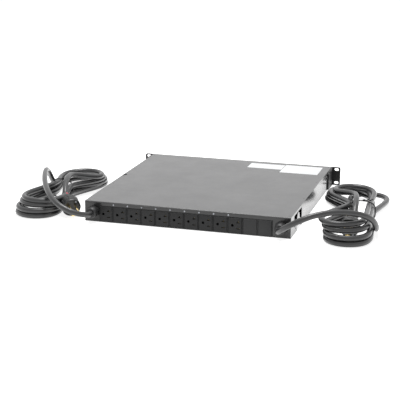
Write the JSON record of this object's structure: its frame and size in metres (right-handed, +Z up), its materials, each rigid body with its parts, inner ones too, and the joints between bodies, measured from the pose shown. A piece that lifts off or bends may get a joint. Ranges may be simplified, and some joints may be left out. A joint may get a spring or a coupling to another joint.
{
  "type": "rack static transfer switch",
  "caption": "One-unit rack case with rack ears, a row of blade outlets and blank plates on its rear wall, and two input cords tied in hanks, each ending in a round locking plug.",
  "frame": {"origin": "centre of the four rack slots, in the plane of the ears' rear faces, where they seat on the rack's rails", "axes": "+Z up, +X to the right of someone who faces the front panel, +Y back into the rack, towards the outlets"},
  "size_m": [0.782, 0.52, 0.0776],
  "materials": {
    "case_paint": "fine textured dark grey powder coat",
    "ear_paint": "satin black powder coat",
    "panel_paint": "satin dark paint",
    "window": "smoked clear plastic",
    "light_pipe": "milky clear plastic",
    "outlet_plastic": "satin black nylon",
    "blank_plastic": "fine matt black nylon",
    "gland_plastic": "satin black nylon",
    "cord_jacket": "satin black jacket",
    "tie_black": "black twist tie",
    "band_red": "red sleeve",
    "plug_plastic": "moulded black plastic",
    "blade_brass": "polished brass",
    "zinc": "zinc plated steel",
    "screw_black": "black oxide",
    "board_green": "solder mask on laminate",
    "sink_aluminium": "extruded aluminium",
    "bus_copper": "tinned copper",
    "relay_blue": "moulded blue case",
    "core_brown": "varnished core and tape",
    "sensor_green": "coated ring core",
    "can_blue": "sleeved can",
    "fuse_tan": "ceramic and moulded base",
    "switch_black": "moulded semiconductor module"
  },
  "bodies": {
    "root": {"base_tray": "case_paint", "top_cover": "case_paint", "front_panel": "panel_paint", "display_window": "window", "display_module": "board_green", "status_light_pipes": "light_pipe", "rack_ear_left": "ear_paint", "rack_ear_right": "ear_paint", "ear_screws": "screw_black", "cover_screws": "screw_black", "panel_screws": "screw_black", "outlet_01": "outlet_plastic", "outlet_02": "outlet_plastic", "outlet_03": "outlet_plastic", "outlet_04": "outlet_plastic", "outlet_05": "outlet_plastic", "outlet_06": "outlet_plastic", "outlet_07": "outlet_plastic", "outlet_08": "outlet_plastic", "outlet_09": "outlet_plastic", "outlet_10": "outlet_plastic", "blank_plate_01": "blank_plastic", "blank_plate_02": "blank_plastic", "wall_rivets": "zinc", "outlet_bus_bars": "bus_copper", "gland_left": "gland_plastic", "gland_right": "gland_plastic", "gland_nut_left": "zinc", "gland_nut_right": "zinc", "main_board": "board_green", "board_standoffs": "zinc", "board_screws": "zinc", "heat_sink": "sink_aluminium", "static_switch_a": "switch_black", "static_switch_b": "switch_black", "relay_bank": "relay_blue", "transformer_a": "core_brown", "transformer_b": "core_brown", "current_sensor_a": "sensor_green", "current_sensor_b": "sensor_green", "bulk_capacitors": "can_blue", "fuse_holders": "fuse_tan", "control_board": "board_green", "ground_stud": "zinc", "ground_nut": "zinc", "cord_left_lead": "cord_jacket", "cord_left_hank": "cord_jacket", "cord_left_tail": "cord_jacket", "cord_left_tie": "tie_black", "cord_left_band": "band_red", "plug_left_body": "plug_plastic", "plug_left_blades": "blade_brass", "cord_right_lead": "cord_jacket", "cord_right_hank": "cord_jacket", "cord_right_tail": "cord_jacket", "cord_right_tie": "tie_black", "plug_right_body": "plug_plastic", "plug_right_blades": "blade_brass"}
  },
  "joints": []
}
